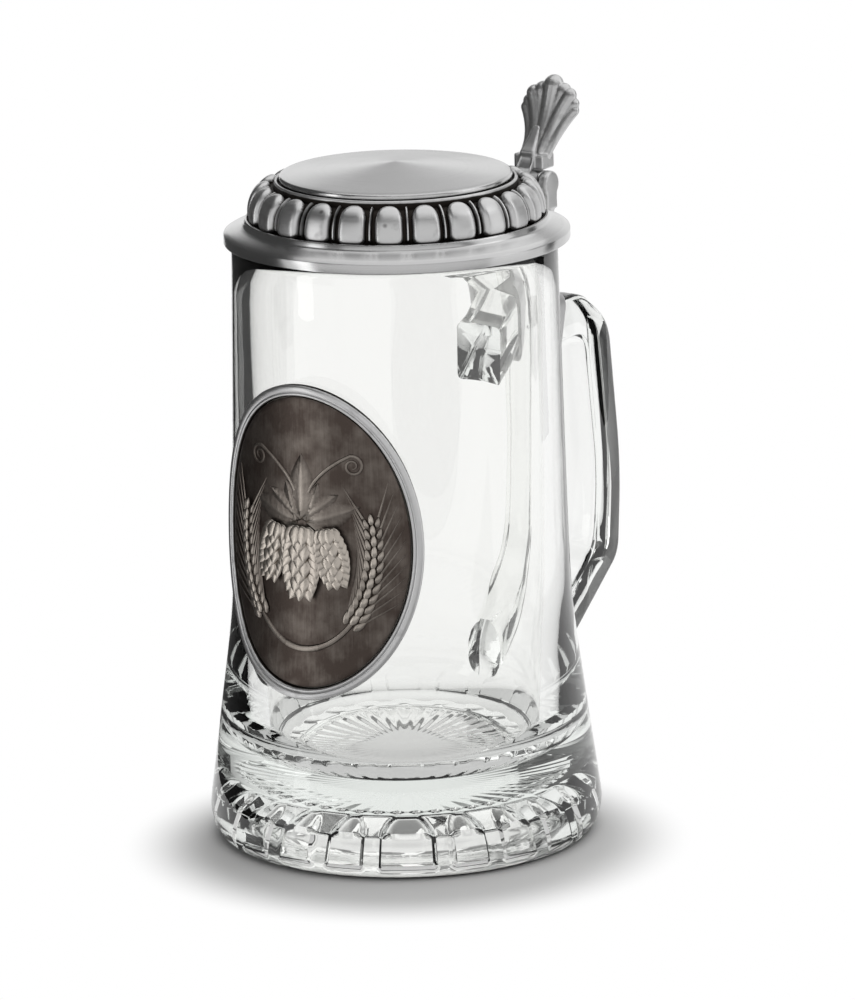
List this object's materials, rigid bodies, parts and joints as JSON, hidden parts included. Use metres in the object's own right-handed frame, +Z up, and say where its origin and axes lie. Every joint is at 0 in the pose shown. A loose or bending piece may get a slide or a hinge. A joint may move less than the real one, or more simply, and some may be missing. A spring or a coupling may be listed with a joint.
{
  "type": "lidded beer mug",
  "caption": "Glass beer mug with a flared hollow fluted foot, a glass handle, a hinged gadrooned pewter lid with a palmette thumb lift and an oval pewter plaque on the wall.",
  "frame": {"origin": "on the floor, under the middle of the whole part's bounding box", "axes": "+Z up, +Y towards the handle and the hinge, -Y towards the plaque, hinge pin along X"},
  "size_m": [0.1002, 0.1402, 0.183],
  "materials": {
    "clear_glass": "clear pressed glass, faintly grey-green where it is thick",
    "pewter": "satin cast pewter with dark patina in the grooves",
    "dark_pewter": "dark antiqued pewter",
    "pin_steel": "drawn wire",
    "bond": "clear bonding film"
  },
  "bodies": {
    "mug": {"glass_body": "clear_glass", "glass_handle": "clear_glass", "strap_left": "pewter", "strap_right": "pewter", "hinge_pin": "pin_steel", "plaque_bezel": "pewter", "plaque_plate": "dark_pewter", "plaque_bond": "bond"},
    "lid": {"lid": "pewter", "lid_disc": "pewter", "hinge_arm": "pewter", "thumb_lift": "pewter"}
  },
  "joints": [
    {"name": "lid_hinge", "type": "hinge", "parent": "mug", "child": "lid", "pos_m": [0, 0.04262, 0.1567], "axis": [-1, 0, 0], "range_deg": [0, 100]}
  ]
}
